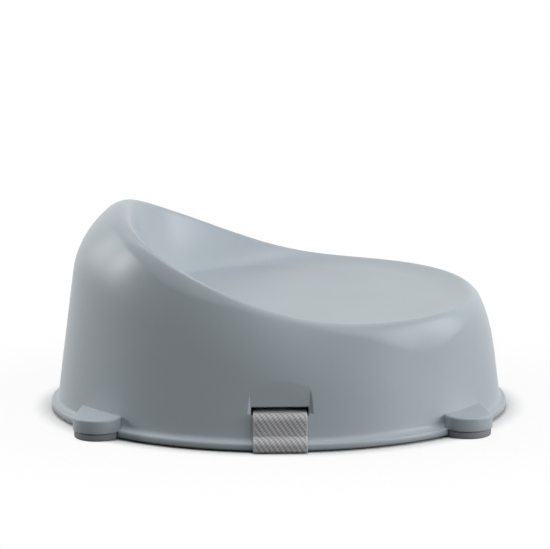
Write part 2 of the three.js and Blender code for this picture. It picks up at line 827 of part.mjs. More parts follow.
// Prong, drawn for the +X side: an arm, then a head whose shoulder catches behind the mouth
function prongShape(side) {
  const inner = prongPlace - prongArm / 2;
  const outer = prongPlace + prongArm / 2;
  const shoulderY = -(mouthDepth + clearance);
  const catchX = mouthHalf + catchDepth;
  const end = -prongLength;
  const fillet = prongArm / 2;
  const shape = new THREE.Shape();
  const at = (x, y) => [side * x, y];
  for (let i = 0; i <= 6; i += 1) {
    const turn = Math.PI * (1 - i / 6);
    const root = at(prongPlace + hingeDepth * Math.cos(turn), hingeDepth * (Math.sin(turn) - 1));
    shape[i === 0 ? 'moveTo' : 'lineTo'](...root);
  }
  shape.lineTo(...at(outer, shoulderY + fillet));
  shape.quadraticCurveTo(...at(outer, shoulderY), ...at(outer + fillet, shoulderY));
  shape.lineTo(...at(catchX - fillet / 3, shoulderY));
  shape.quadraticCurveTo(
    ...at(catchX + fillet, (2 * shoulderY + end) / 3),
    ...at(catchX - fillet, (shoulderY + 2 * end) / 3),
  );
  shape.quadraticCurveTo(...at(inner + fillet, end + fillet / 2), ...at(inner, end));
  shape.lineTo(...at(inner - fillet, end + fillet / 2));
  shape.lineTo(...at(inner - fillet / 2, shoulderY));
  return shape;
}

function addBuckle() {
  const buckle = new THREE.Group();
  buckle.position.set(strapPlace, 0, buckleLevel);
  group.add(buckle);
  addPiece('buckle_socket', socketGeometry(), buckleGrey, buckle);
  addPiece('buckle_plug', plugGeometry(), buckleGrey, buckle);
  for (const [hand, side] of [['front', 1], ['rear', -1]]) {
    const prong = plate(prongShape(side), -prongHeight / 2, prongHeight / 2, edgeBevel / 2);
    addPiece(`release_prong_${hand}`, geometryOf(solid(prong)), buckleGrey, buckle);
  }
}

// Keeper: an elastic loop round the run and the folded surplus
function addKeeper() {
  const top = foldTop + tightBend;
  const bottom = runHeight - tightBend;
  const half = (webbing + sidePlay) / 2;
  const grown = keeperThickness;
  const outline = roundedRectangle(
    -half - grown, half + grown, bottom - grown, top + grown, keeperThickness + 2 * clearance,
  );
  outline.holes.push(roundedRectangle(-half, half, bottom, top, clearance));
  const geometry = new THREE.ExtrudeGeometry(outline, {
    depth: keeperWidth, curveSegments: 3, bevelEnabled: false,
  });
  geometry.rotateX(Math.PI / 2);
  const keeper = addPiece('strap_keeper', geometry, elastic);
  keeper.position.set(strapPlace, stackEnd - keeperInset + keeperWidth, 0);
}

addPiece('seat_shell', seatShell(), plastic);
addFeet();
addStrap();
addBuckle();
addKeeper();

export default group;
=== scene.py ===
"""Chair booster seat: looks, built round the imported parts. Sizes are in millimetres, as in the
part's source, and are turned into metres where a mesh is made."""

import math
from types import SimpleNamespace

import bmesh
import bpy
from mathutils import Matrix, Vector


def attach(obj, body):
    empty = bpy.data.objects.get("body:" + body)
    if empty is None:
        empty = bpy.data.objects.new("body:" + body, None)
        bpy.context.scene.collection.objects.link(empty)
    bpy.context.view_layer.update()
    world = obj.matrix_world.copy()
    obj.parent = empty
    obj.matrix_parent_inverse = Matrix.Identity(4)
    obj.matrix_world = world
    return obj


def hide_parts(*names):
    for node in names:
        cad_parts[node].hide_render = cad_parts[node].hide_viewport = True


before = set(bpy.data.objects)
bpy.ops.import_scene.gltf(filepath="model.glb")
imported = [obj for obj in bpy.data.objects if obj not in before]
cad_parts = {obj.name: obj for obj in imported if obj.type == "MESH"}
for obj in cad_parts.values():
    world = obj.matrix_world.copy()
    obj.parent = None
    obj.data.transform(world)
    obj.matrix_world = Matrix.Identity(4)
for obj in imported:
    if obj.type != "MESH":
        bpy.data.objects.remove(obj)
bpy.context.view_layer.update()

MM = 0.001

# Base and seat
BASE_LENGTH = 345
BASE_WIDTH = 300
LIP_REACH = 5.2
LIP_BOTTOM = 1.4
LIP_ROUND = 2.2
LIP_TOP = LIP_BOTTOM + 5.8
RIM_FULLNESS = 0.8
WALL_FOOT = LIP_TOP + 2.6
WALL_END = WALL_FOOT + 1.4
BACK_HEIGHT = 158.4
SEAT_HEIGHT = 85
SEAT_CROWN = 1.2
FRONT_RISE = 4.8
WALL = 3
DRAFT = math.radians(7)
SEAT_CENTRE = 20

# Ridge round the seat, the cove inside it and the shoulder outside it. Three sizes are for the
# front, the sides and the rear, and tilts are in degrees.
RIDGE_REAR = 134.3
RIDGE_FRONT = 126.2
RIDGE_SIDE = 124
SQUARENESS_REAR = 2.9
SQUARENESS_FRONT = 2.37
RIDGE_SWEEP = 4.67
CROWN_SPREAD = 0.88
RIDGE_ROUND = (6, 6, 15)
COVE_REAR = 34.3
COVE_FRONT = 31
COVE_SIDE = 24
COVE_STEEPNESS = 2.1
SHOULDER_DROP = (52, 54, 54)
SHOULDER_TILT = (40, 36, 22)
SHOULDER_SPREAD = 0.3
SHOULDER_START_SIDE = 0.2
SHOULDER_START_END = 0.5

# Lugs and feet
LUG_X = 138
LUG_Y = 96
LUG_RADIUS = 18.5
LUG_TOP = 16.8
LUG_WALL = 2.6
LUG_LEAN = math.radians(12)
FOOT_HEIGHT = 6.3
FOOT_PLUG = 4.6
FOOT_INSET = 1.4
GROOVE = 0.5
GRIP_RINGS = (4.2, 7.2, 10.2, 13.2)
FACETS = 96

# Ribs, slots and the recess that each slot lies in
RIB_THICKNESS = 2.2
RIB_DEPTH = 16
RIB_SPACING = 76
RIB_REAR = -38
RIB_FRONT = 62
STRAP_PLACE = -3.4
SLOT_BOTTOM = 26.3
SLOT_HEIGHT = 5.7
SLOT_WIDTH = 42.4
SLOT_ROUND = 1.4
RECESS_TOP = 60
RECESS_FADE = 52
RECESS_WIDTH = 41.4
RECESS_FLARE = 5.5
RECESS_PLANE = 138.69
FADE_PLANE = 139.7
CHEEK_LEAN = math.radians(48)
SILL = 3.5
NOTCH_TOP = 2.7

# Webbing and its keeper. The heights are those of the webbing's middle.
WEBBING = 40
WEB_THICKNESS = 1.8
HALF_WEB = WEB_THICKNESS / 2
CLEARANCE = 0.3
LAYER_PITCH = WEB_THICKNESS + 0.5
TIGHT_BEND = CLEARANCE + HALF_WEB
EDGE_BEND = 1.4
EASY_BEND = 10
KEEPER_THICKNESS = 1.2
KEEPER_WIDTH = 12
KEEPER_PLACE = 31
RUN_HEIGHT = 2 * CLEARANCE + KEEPER_THICKNESS + HALF_WEB
TAIL_HEIGHT = RUN_HEIGHT + LAYER_PITCH
RIM_EDGE = BASE_WIDTH / 2

# Buckle, as far as the webbing needs it, measured along the strap from where plug and socket meet
BAR_DEPTH = 5
BAR_HEIGHT = 4
BUCKLE_LEVEL = TAIL_HEIGHT + TIGHT_BEND + BAR_HEIGHT / 2
PLUG_SLOT = WEB_THICKNESS + 2.7
MIDDLE_BAR = CLEARANCE + 6 + PLUG_SLOT
END_SLOT = MIDDLE_BAR + BAR_DEPTH
PLUG_END = END_SLOT + PLUG_SLOT + BAR_DEPTH
SOCKET_LENGTH = 47.7
SOCKET_BAR = SOCKET_LENGTH - BAR_DEPTH
SOCKET_TRAVEL = 36

# Sewn loop round the socket's bar. Its cover makes it lie round the strap that it slides along.
SLOPE_LENGTH = 16
SEWN_LENGTH = 30
LOOP_END = SOCKET_BAR + SLOPE_LENGTH + SOCKET_TRAVEL + 1
LOOP_OVERLAP = 1.5
LOOP_COVER = 0.12
THREAD_LIFT = 0.32
SEAM_START = 3
SEAM_MARGIN = 4

# Surplus webbing, folded in layers
FOLD_LAYERS = 5
FOLD_STEP = 6
FOLD_BOTTOM = TAIL_HEIGHT + KEEPER_THICKNESS + CLEARANCE
FOLD_TOP = FOLD_BOTTOM + (FOLD_LAYERS - 1) * LAYER_PITCH
STACK_START = PLUG_END + 8
STACK_END = RECESS_PLANE - WALL - 13


# Node trees

class Value:
    """One number in a node tree. Sums and products of values add their own Math nodes."""

    def __init__(self, graph, socket):
        self.graph = graph
        self.socket = socket

    def math(self, operation, *others):
        made = self.graph.node("ShaderNodeMath", {"operation": operation},
                               dict(enumerate((self, *others))))
        return Value(self.graph, made.outputs[0])

    def __add__(self, other):
        return self.math("ADD", other)

    def __sub__(self, other):
        return self.math("SUBTRACT", other)

    def __mul__(self, other):
        return self.math("MULTIPLY", other)

    def __truediv__(self, other):
        return self.math("DIVIDE", other)

    def __pow__(self, other):
        return self.math("POWER", other)

    def __rsub__(self, other):
        return self.graph.value("SUBTRACT", other, self)

    def __rtruediv__(self, other):
        return self.graph.value("DIVIDE", other, self)

    __radd__ = __add__
    __rmul__ = __mul__

    def above(self, limit):
        return self.math("GREATER_THAN", limit)

    def between(self, low, high):
        """0 up to low, 1 from high on, and smooth between them."""
        ramp = self.graph.node(
            "ShaderNodeMapRange", {"interpolation_type": "SMOOTHSTEP"},
            {"Value": self, "From Min": low, "From Max": high},
        )
        return Value(self.graph, ramp.outputs["Result"])


class Graph:
    """A shader or geometry tree that nodes are added to."""

    def __init__(self, tree):
        self.tree = tree

    def node(self, kind, settings=None, sockets=None):
        made = self.tree.nodes.new(kind)
        for name, setting in (settings or {}).items():
            setattr(made, name, setting)
        for name, given in (sockets or {}).items():
            self.feed(made.inputs[name], given)
        return made

    def feed(self, target, given):
        if isinstance(given, Value):
            given = given.socket
        if isinstance(given, bpy.types.NodeSocket):
            self.tree.links.new(given, target)
        else:
            target.default_value = given

    def value(self, operation, *numbers):
        made = self.node("ShaderNodeMath", {"operation": operation}, dict(enumerate(numbers)))
        return Value(self, made.outputs[0])

    def of(self, kind, output=0, settings=None, sockets=None):
        return Value(self, self.node(kind, settings, sockets).outputs[output])

    def axes(self, place):
        """The x, y and z of a vector socket."""
        return [Value(self, output)
                for output in self.node("ShaderNodeSeparateXYZ", None, {0: place}).outputs]

    def position(self):
        """The x, y and z of each point of a mesh or curve."""
        return self.axes(self.node("GeometryNodeInputPosition").outputs[0])


def emptied(owner):
    """The graph of a material or world, without the nodes that it comes with."""
    owner.use_nodes = True
    owner.node_tree.nodes.clear()
    return Graph(owner.node_tree)


# Shell surface, as fields of a geometry tree

def rounded_ring(side, front, rear, width):
    """Reach of a soft rectangle round the seat's centre."""
    squareness = SQUARENESS_REAR + (SQUARENESS_FRONT - SQUARENESS_REAR) * side.ahead
    lengthwise = side.cos.math("ABSOLUTE") / (rear + (front - rear) * side.ahead)
    sideways = side.sin.math("ABSOLUTE") / width
    return (lengthwise ** squareness + sideways ** squareness) ** (-1 / squareness)


def base_ring(side, inset):
    """Reach of the base's ellipse, drawn in by an inset, from the seat's centre."""
    half = side.length / 2 - inset
    across = side.sin / (side.width / 2 - inset)
    along = side.cos / half
    shift = SEAT_CENTRE / half
    square = along * along + across * across
    root = along * along * shift * shift - square * (shift * shift - 1)
    return (root ** 0.5 - along * shift) / square


def front_side_rear(side, sizes):
    """A size that goes smoothly from the front over the sides to the rear, sooner in front."""
    front, middle, rear = sizes
    share = side.cos * side.cos
    sooner = (1 + SHOULDER_SPREAD) / (share + SHOULDER_SPREAD)
    return middle + share * (rear - middle + side.ahead * (sooner * (front - middle)
                                                           - (rear - middle)))


def bezier(points, share):
    """Place and direction on a quadratic or cubic curve through (reach, height) points."""
    rest = 1 - share
    if len(points) == 3:
        weights = (rest * rest, 2 * rest * share, share * share)
        slopes = (rest, share)
    else:
        weights = (rest * rest * rest, 3 * rest * rest * share, 3 * rest * share * share,
                   share * share * share)
        slopes = (rest * rest, 2 * rest * share, share * share)
    place = [sum(w * p[k] for w, p in zip(weights, points)) for k in (0, 1)]
    steps = [[b[k] - a[k] for k in (0, 1)] for a, b in zip(points, points[1:])]
    along = [sum(w * s[k] for w, s in zip(slopes, steps)) for k in (0, 1)]
    return (*place, *along)


def skin(side, place, depth):
    """Reach and height of the shell's skin, sunk into the material by a depth. The place runs
    over the floor, the cove, the ridge, two lengths of shoulder and the wall, one unit each."""
    ridge = (rounded_ring(side, RIDGE_FRONT, RIDGE_REAR, RIDGE_SIDE), ridge_height(side))
    floor = rounded_ring(side, RIDGE_FRONT - COVE_FRONT, RIDGE_REAR - COVE_REAR,
                         RIDGE_SIDE - COVE_SIDE)
    floor_edge = side.seat + SEAT_CROWN
    rise = ridge[1] - floor_edge
    inward = ridge[0] - floor

    foot = ridge[1] - front_side_rear(side, SHOULDER_DROP)
    wall_top = (wall_reach(side, foot), foot)
    outward = wall_top[0] - ridge[0]
    fall = (ridge[1] - foot) * 0.5
    tilt = front_side_rear(side, SHOULDER_TILT) * (math.pi / 180)
    level_part = outward * (SHOULDER_START_SIDE + side.cos * side.cos
                            * (SHOULDER_START_END - SHOULDER_START_SIDE))
    shoulder = [
        ridge,
        (ridge[0] + level_part, ridge[1] - level_part * tilt.math("TANGENT")),
        (wall_top[0] - fall * math.tan(DRAFT), foot + fall),
        wall_top,
    ]

    def cove(share):
        slope = rise * COVE_STEEPNESS * share ** (COVE_STEEPNESS - 1)
        return (floor + inward * share, floor_edge + rise * share ** COVE_STEEPNESS,
                inward, slope)

    steepest = rise * COVE_STEEPNESS
    rounding = front_side_rear(side, RIDGE_ROUND)
    cove_end = 1 - rounding / (inward * inward + steepest * steepest) ** 0.5
    start = rounding / (outward * 1.5)
    crease = [cove(cove_end)[:2], ridge, bezier(shoulder, start)[:2]]
    rolled = bezier(shoulder, start + (1 - start) * ((place - 3) * 0.5))
    height = foot + (WALL_END - foot) * (place - 5)
    curves = [
        (floor * place, side.seat + SEAT_CROWN * place * place, floor, place * (2 * SEAT_CROWN)),
        cove((place - 1) * cove_end),
        bezier(crease, place - 2),
        rolled,
        rolled,
        (wall_reach(side, height), height, math.tan(DRAFT), -1.0),
    ]
    reach, level, along_reach, along_level = picked(place, curves)
    length = (along_reach * along_reach + along_level * along_level) ** 0.5
    return reach + along_level / length * depth, level - along_reach / length * depth


def picked(place, curves):
    """The four values of the curve whose number is the whole part of the place."""
    whole = place.math("FLOOR").math("MINIMUM", len(curves) - 1).math("MAXIMUM", 0)
    masks = [whole.math("COMPARE", number, 0.1) for number in range(len(curves))]
    return [sum(mask * curve[k] for mask, curve in zip(masks, curves)) for k in range(4)]


def ridge_height(side):
    low = side.seat + SEAT_CROWN + FRONT_RISE
    turned = (1 - side.cos) * 0.5
    spread = 1 + side.sin * side.sin * CROWN_SPREAD
    return low + (side.back - low) * turned ** RIDGE_SWEEP * spread


def wall_reach(side, height):
    return base_ring(side, LIP_REACH) - (height - WALL_FOOT) * math.tan(DRAFT)


def lip(side, place):
    """Reach and height along the lip, from the foot of the wall round its edge to the inside."""
    foot = base_ring(side, LIP_REACH)
    edge = base_ring(side, 0)
    outer_end = (wall_reach(side, WALL_END), side.zero + WALL_END)
    inner_end = (outer_end[0] - WALL * math.cos(DRAFT), outer_end[1] - WALL * math.sin(DRAFT))
    top = (edge - LIP_ROUND, side.zero + LIP_TOP)
    bottom = (edge - LIP_ROUND, side.zero + LIP_BOTTOM)
    inside = (edge - WALL, side.zero + LIP_BOTTOM)
    turn = (place - 1) * (math.pi / 2)
    upright = turn.math("COSINE")
    bulge = turn.math("SINE").math("MAXIMUM", 0) ** RIM_FULLNESS
    climb = upright.math("ABSOLUTE") ** RIM_FULLNESS
    half = (LIP_TOP - LIP_BOTTOM) / 2
    rim = (
        edge - LIP_ROUND + bulge * LIP_ROUND,
        (LIP_TOP + LIP_BOTTOM) / 2 + half * upright.math("SIGN") * climb,
        side.zero, side.zero,
    )
    flat = place - 3
    corner = (foot + (edge - foot) * 0.08, side.zero + LIP_TOP + 0.3)
    curves = [
        bezier([outer_end, corner, top], place),
        rim,
        rim,
        (bottom[0] + (inside[0] - bottom[0]) * flat, bottom[1], side.zero, side.zero),
        bezier([inside, (inside[0], side.zero + LIP_TOP - WALL), inner_end], place - 4),
    ]
    return picked(place, curves)[:2]


SKIN_PARTS = 6
LIP_PARTS = 5


def shell_tree(material):
    """The moulded shell, or with Filled on, the solid that fills it down to the floor."""
    tree, given = new_tree("moulded shell", {
        "Base Length": BASE_LENGTH, "Base Width": BASE_WIDTH, "Seat Height": SEAT_HEIGHT,
        "Back Height": BACK_HEIGHT, "Wall": WALL, "Stations": 288, "Rows Per Part": 9,
        "Filled": 0.0, "Depth": 0.0,
    })
    graph = given.graph
    parts = 2 * SKIN_PARTS + LIP_PARTS
    rows = given["Rows Per Part"] * parts + 1
    grid = graph.node("GeometryNodeMeshGrid", None, {
        "Size X": 1.0, "Size Y": 1.0, "Vertices X": rows, "Vertices Y": given["Stations"] + 1,
    })
    across, round_about, _ = graph.position()
    row = (across + 0.5) * parts
    turn = (round_about + 0.5) * (2 * math.pi)
    cosine = turn.math("COSINE")
    side = SimpleNamespace(
        cos=cosine, sin=turn.math("SINE"), ahead=cosine.above(0), zero=cosine * 0,
        length=given["Base Length"], width=given["Base Width"],
        seat=given["Seat Height"], back=given["Back Height"],
    )
    inner = row.above(SKIN_PARTS + LIP_PARTS - 0.001)
    outer_place = row.math("MINIMUM", SKIN_PARTS)
    inner_place = (parts - row).math("MINIMUM", SKIN_PARTS)
    place = outer_place + (inner_place - outer_place) * inner
    filled = given["Filled"]
    sunk = given["Depth"] + (given["Wall"] - given["Depth"]) * inner * (1 - filled)
    skin_reach, skin_level = skin(side, place * (1 - filled) + outer_place * filled, sunk)
    lip_reach, lip_level = lip(side, row - SKIN_PARTS)
    on_lip = row.above(SKIN_PARTS + 0.001) * (1 - inner) * (1 - filled)
    below = row.above(SKIN_PARTS + 0.001) * filled
    reach = skin_reach + (lip_reach - skin_reach) * on_lip
    level = skin_level + (lip_level - skin_level) * on_lip
    inward = ((parts - row) / (parts - SKIN_PARTS - 1)).math("MINIMUM", 1)
    reach = reach * (1 + (inward - 1) * below)
    level = level * (1 - below)
    place_node = graph.node("ShaderNodeCombineXYZ", None, {
        0: (reach * side.cos + SEAT_CENTRE) * MM, 1: reach * side.sin * MM, 2: level * MM,
    })
    moved = graph.node("GeometryNodeSetPosition", None, {
        "Geometry": grid.outputs["Mesh"], "Position": place_node.outputs[0],
    })
    closed = graph.node("GeometryNodeMergeByDistance", None, {
        "Geometry": moved.outputs[0], "Distance": 0.01 * MM,
    })
    end_tree(graph, closed.outputs[0], material)
    return tree


# Making and finishing meshes

def new_tree(name, sizes):
    """A geometry tree with a named number input for each size, and those inputs as values."""
    tree = bpy.data.node_groups.new(name, "GeometryNodeTree")
    tree.interface.new_socket("Geometry", in_out="INPUT", socket_type="NodeSocketGeometry")
    tree.interface.new_socket("Geometry", in_out="OUTPUT", socket_type="NodeSocketGeometry")
    for label, size in sizes.items():
        kind = "NodeSocketInt" if isinstance(size, int) and label in COUNTS else "NodeSocketFloat"
        tree.interface.new_socket(label, in_out="INPUT", socket_type=kind).default_value = size
    graph = Graph(tree)
    entry = graph.node("NodeGroupInput")
    return tree, Given(graph, entry, sizes)


class Given(dict):
    """The inputs of a geometry tree by name."""

    def __init__(self, graph, entry, sizes):
        super().__init__({label: Value(graph, entry.outputs[label]) for label in sizes})
        self.graph = graph
        self.geometry = entry.outputs["Geometry"]


COUNTS = ("Stations", "Rows Per Part", "Across")


def end_tree(graph, geometry, material):
    real = graph.node("GeometryNodeRealizeInstances", None, {"Geometry": geometry})
    named = graph.node("GeometryNodeSetMaterial", None, {
        "Geometry": real.outputs[0], "Material": material,
    })
    graph.node("NodeGroupOutput", None, {0: named.outputs[0]})


def grown(name, tree, source=None, **sizes):
    """The plain mesh that a geometry tree makes from its inputs, as an object."""
    data = source or bpy.data.meshes.new(name)
    holder = bpy.data.objects.new(name + "_source", data)
    bpy.context.scene.collection.objects.link(holder)
    modifier = holder.modifiers.new("grow", "NODES")
    modifier.node_group = tree
    for item in tree.interface.items_tree:
        label = item.name.replace(" ", "_").lower()
        if item.in_out == "INPUT" and label in sizes:
            modifier[item.identifier] = sizes[label]
    return finished(name, holder)


def finished(name, holder):
    """The evaluated mesh of a holder as a new object, without its modifiers."""
    bpy.context.view_layer.update()
    evaluated = holder.evaluated_get(bpy.context.evaluated_depsgraph_get())
    mesh = bpy.data.meshes.new_from_object(evaluated)
    mesh.name = name
    bpy.data.objects.remove(holder)
    return linked(name, mesh)


def linked(name, mesh):
    piece = bpy.data.objects.new(name, mesh)
    bpy.context.scene.collection.objects.link(piece)
    return piece


def from_bmesh(name, shape, material=None):
    """An object from a bmesh in millimetres."""
    bmesh.ops.scale(shape, vec=(MM, MM, MM), verts=shape.verts)
    bmesh.ops.recalc_face_normals(shape, faces=shape.faces)
    mesh = bpy.data.meshes.new(name)
    shape.to_mesh(mesh)
    shape.free()
    if material:
        mesh.materials.append(material)
    return linked(name, mesh)


def smooth(piece, sharp_angle=35):
    """Smooth shading that breaks at edges sharper than an angle in degrees."""
    mesh = piece.data
    mesh.shade_smooth()
    mesh.set_sharp_from_angle(angle=math.radians(sharp_angle))
    return piece


def combined(piece, operation, others):
    """A piece joined to others, cut by them or kept only inside them, which uses them up."""
    tools = bpy.data.collections.new(operation)
    bpy.context.scene.collection.children.link(tools)
    for other in others:
        tools.objects.link(other)
    modifier = piece.modifiers.new("join", "BOOLEAN")
    modifier.operation = operation
    modifier.solver = "EXACT"
    modifier.operand_type = "COLLECTION"
    modifier.collection = tools
    name = piece.name
    piece.name = name + "_before"
    result = finished(name, piece)
    for other in others:
        bpy.data.objects.remove(other)
    bpy.data.collections.remove(tools)
    return result


def block(name, x, y, z):
    """A box between two values along each axis."""
    shape = bmesh.new()
    middle = [(low + high) / 2 for low, high in (x, y, z)]
    spans = [high - low for low, high in (x, y, z)]
    place = Matrix.Translation(middle) @ Matrix.Diagonal((*spans, 1))
    bmesh.ops.create_cube(shape, size=1, matrix=place)
    return from_bmesh(name, shape)


def hull(name, corners):
    shape = bmesh.new()
    for corner in corners:
        shape.verts.new(corner)
    bmesh.ops.convex_hull(shape, input=shape.verts)
    return from_bmesh(name, shape)


def stacked(name, rings, material=None):
    """A closed solid through rings that have the same number of corners."""
    shape = bmesh.new()
    rows = [[shape.verts.new(corner) for corner in ring] for ring in rings]
    shape.faces.new(rows[0])
    shape.faces.new(rows[-1])
    for low, high in zip(rows, rows[1:]):
        count = len(low)
        for i in range(count):
            j = (i + 1) % count
            shape.faces.new((low[i], low[j], high[j], high[i]))
    return from_bmesh(name, shape, material)


def turned(name, profile, centre, material=None):
    """A solid of revolution from (radius, height) points."""
    turns = [2 * math.pi * i / FACETS for i in range(FACETS)]
    rings = [[(centre[0] + radius * math.cos(t), centre[1] + radius * math.sin(t), level)
              for t in turns] for radius, level in profile]
    return stacked(name, rings, material)


# Seat shell

def lug_outline(side_x, side_y, inset=0):
    """Round towards the outside, then leaning back into the wall at its end."""
    radius = LUG_RADIUS - inset
    back = LUG_Y - LUG_RADIUS * 3
    reach = radius / math.cos(LUG_LEAN) - (LUG_Y - back) * math.tan(LUG_LEAN)
    points = [(reach, back)]
    for i in range(49):
        turn = LUG_LEAN + i / 48 * (math.pi - LUG_LEAN)
        points.append((radius * math.cos(turn), LUG_Y + radius * math.sin(turn)))
    points.append((-radius, back))
    return [(side_x * (LUG_X + x), side_y * y) for x, y in points]


def lug(side_x, side_y):
    """One lug, with its upper and lower edges rounded."""
    rounding = 1.5
    rings = []
    for i in range(5):
        turn = i / 4 * math.pi / 2
        inset = rounding * (1 - math.sin(turn))
        level = FOOT_HEIGHT + 0.6 * (1 - math.cos(turn))
        rings.append((inset * 0.4, level))
    for i in range(7):
        turn = i / 6 * math.pi / 2
        rings.append((rounding * (1 - math.cos(turn)),
                      LUG_TOP - rounding * (1 - math.sin(turn))))
    return stacked("lug", [[(x, y, level) for x, y in lug_outline(side_x, side_y, inset)]
                           for inset, level in rings])


def ribs(fill):
    """Upright plates across and along below the seat, kept inside the shell."""
    low, high, reach = SEAT_HEIGHT - WALL - RIB_DEPTH, BACK_HEIGHT, BASE_LENGTH
    half = RIB_THICKNESS / 2
    plates = [block("rib", (x - half, x + half), (-reach, reach), (low, high))
              for x in (RIB_REAR, RIB_FRONT)]
    plates += [block("rib", (-reach, reach), (y - half, y + half), (low, high))
               for y in (-RIB_SPACING / 2, RIB_SPACING / 2)]
    first = combined(plates[0], "UNION", plates[1:])
    return combined(first, "INTERSECT", [fill])


def slot_panel(side, fill):
    """The wall behind a recess, which the slot goes through."""
    half = (RECESS_WIDTH + RECESS_FLARE) / 2 + WALL
    inner = RECESS_PLANE - WALL
    depths = sorted((side * inner, side * BASE_WIDTH))
    panel = block("panel", (STRAP_PLACE - half, STRAP_PLACE + half), depths,
                  (WALL_FOOT - WALL, RECESS_TOP + WALL))
    return combined(panel, "INTERSECT", [fill])


def recess_cutter(side):
    """Upright along the slot, then leaning out until it meets the drafted wall."""
    slot_top = SLOT_BOTTOM + SLOT_HEIGHT + SLOT_ROUND
    rise = (RECESS_TOP - slot_top) / (RECESS_FADE - slot_top)
    outer = BASE_WIDTH / 2 + 4
    corners = []
    for level, plane in ((SLOT_BOTTOM + SLOT_ROUND, RECESS_PLANE), (slot_top, RECESS_PLANE),
                         (RECESS_TOP, RECESS_PLANE + (FADE_PLANE - RECESS_PLANE) * rise)):
        half = (RECESS_WIDTH + RECESS_FLARE * (level - WALL_FOOT) / (RECESS_TOP - WALL_FOOT)) / 2
        lean = (outer - RECESS_PLANE) * math.tan(CHEEK_LEAN)
        for end in (-1, 1):
            corners.append((STRAP_PLACE + end * half, side * plane, level))
            corners.append((STRAP_PLACE + end * (half + lean), side * outer, level))
    return hull("recess", corners)


def slot_cutter(side):
    """A slot whose edges are rounded for the webbing. The lower one lies in the wall's face."""
    outside, inside, sill = RECESS_PLANE, RECESS_PLANE - WALL, RECESS_PLANE + SILL
    top = SLOT_BOTTOM + SLOT_HEIGHT

    def arc(y, z, start, end):
        turns = [start + (end - start) * i / 6 for i in range(7)]
        return [(side * (y + SLOT_ROUND * math.cos(t)), z + SLOT_ROUND * math.sin(t))
                for t in turns]

    half_turn = math.pi / 2
    outline = [
        (side * (inside - 4), SLOT_BOTTOM - SLOT_ROUND),
        *arc(inside + SLOT_ROUND, SLOT_BOTTOM - SLOT_ROUND, math.pi, half_turn),
        *arc(sill - SLOT_ROUND, SLOT_BOTTOM - SLOT_ROUND, half_turn, 0),
        (side * (sill + 4), SLOT_BOTTOM - SLOT_ROUND),
        (side * (sill + 4), top + SLOT_ROUND),
        *arc(outside - SLOT_ROUND, top + SLOT_ROUND, 0, -half_turn),
        *arc(inside + SLOT_ROUND, top + SLOT_ROUND, -half_turn, -math.pi),
        (side * (inside - 4), top + SLOT_ROUND),
    ]
    ends = [STRAP_PLACE - SLOT_WIDTH / 2, STRAP_PLACE + SLOT_WIDTH / 2]
    return stacked("slot", [[(x, y, z) for y, z in outline] for x in ends])


def notch_cutter(side):
    """The room below the lip where the webbing passes."""
    half = WEBBING / 2 + CLEARANCE
    depths = sorted((side * (BASE_WIDTH / 2 - 2 * WALL - LIP_REACH), side * (BASE_WIDTH / 2 + 4)))
    return block("notch", (STRAP_PLACE - half, STRAP_PLACE + half), depths, (-4, NOTCH_TOP))


def foot_cutter(side_x, side_y):
    """The cup in a lug, and the wider room that the foot's pad goes up into."""
    cup = LUG_RADIUS - LUG_WALL
    pad = LUG_RADIUS - FOOT_INSET + 2 * CLEARANCE
    profile = [(pad, -1), (pad, FOOT_HEIGHT), (cup, FOOT_HEIGHT), (cup, LUG_TOP - WALL)]
    return turned("cup", profile, (side_x * LUG_X, side_y * LUG_Y))


def make_shell(material):
    tree = shell_tree(material)
    sides = (-1, 1)
    corners = [(x, y) for x in sides for y in sides]

    def fill(depth=WALL / 2):
        return grown("fill", tree, filled=1.0, depth=depth, stations=144, rows_per_part=5)

    additions = [ribs(fill()), slot_panel(-1, fill()), slot_panel(1, fill())]
    additions += [combined(lug(x, y), "DIFFERENCE", [fill()]) for x, y in corners]
    cutters = [foot_cutter(x, y) for x, y in corners]
    for side in sides:
        cutters += [recess_cutter(side), slot_cutter(side), notch_cutter(side)]
    shell = combined(grown("booster_shell", tree), "UNION", additions)
    shell = combined(shell, "DIFFERENCE", cutters)
    shell.data.materials.clear()
    shell.data.materials.append(material)
    return smooth(shell)


# Webbing

def bent_path(corners, step=8):
    """A path through (y, z, radius) corners with round bends, as (y, z) vectors. The step is the
    most that a bend turns from point to point, in degrees."""
    points = [Vector(corners[0][:2])]
    for (y0, z0, *_), (y1, z1, radius), (y2, z2, *_) in zip(corners, corners[1:], corners[2:]):
        here = Vector((y1, z1))
        back = (Vector((y0, z0)) - here).normalized()
        ahead = (Vector((y2, z2)) - here).normalized()
        turn = math.pi - math.acos(max(-1, min(1, back.dot(ahead))))
        start = here + back * radius * math.tan(turn / 2)
        side = math.copysign(1, back.x * ahead.y - back.y * ahead.x)
        centre = start + Vector((back.y, -back.x)) * -side * radius
        steps = max(1, math.ceil(math.degrees(turn) / step))
        for k in range(steps + 1):
            spoke = start - centre
            spoke.rotate(Matrix.Rotation(-side * turn * k / steps, 2))
            points.append(centre + spoke)
    points.append(Vector(corners[-1][:2]))
    return points


def side_corners(side):
    """From below the rim up the outside and in through the slot."""
    outer = RIM_EDGE + 2
    under = NOTCH_TOP - TIGHT_BEND
    inside = SLOT_BOTTOM + TIGHT_BEND
    return [
        (side * (outer - 16), RUN_HEIGHT, 20),
        (side * (outer - 8), under, 20),
        (side * outer, under, EDGE_BEND),
        (side * outer, LIP_TOP + TIGHT_BEND, 4.5),
        (side * (RIM_EDGE - 4.3), WALL_END, 1.6),
        (side * (RIM_EDGE - 4.4), inside, 4.5),
    ]


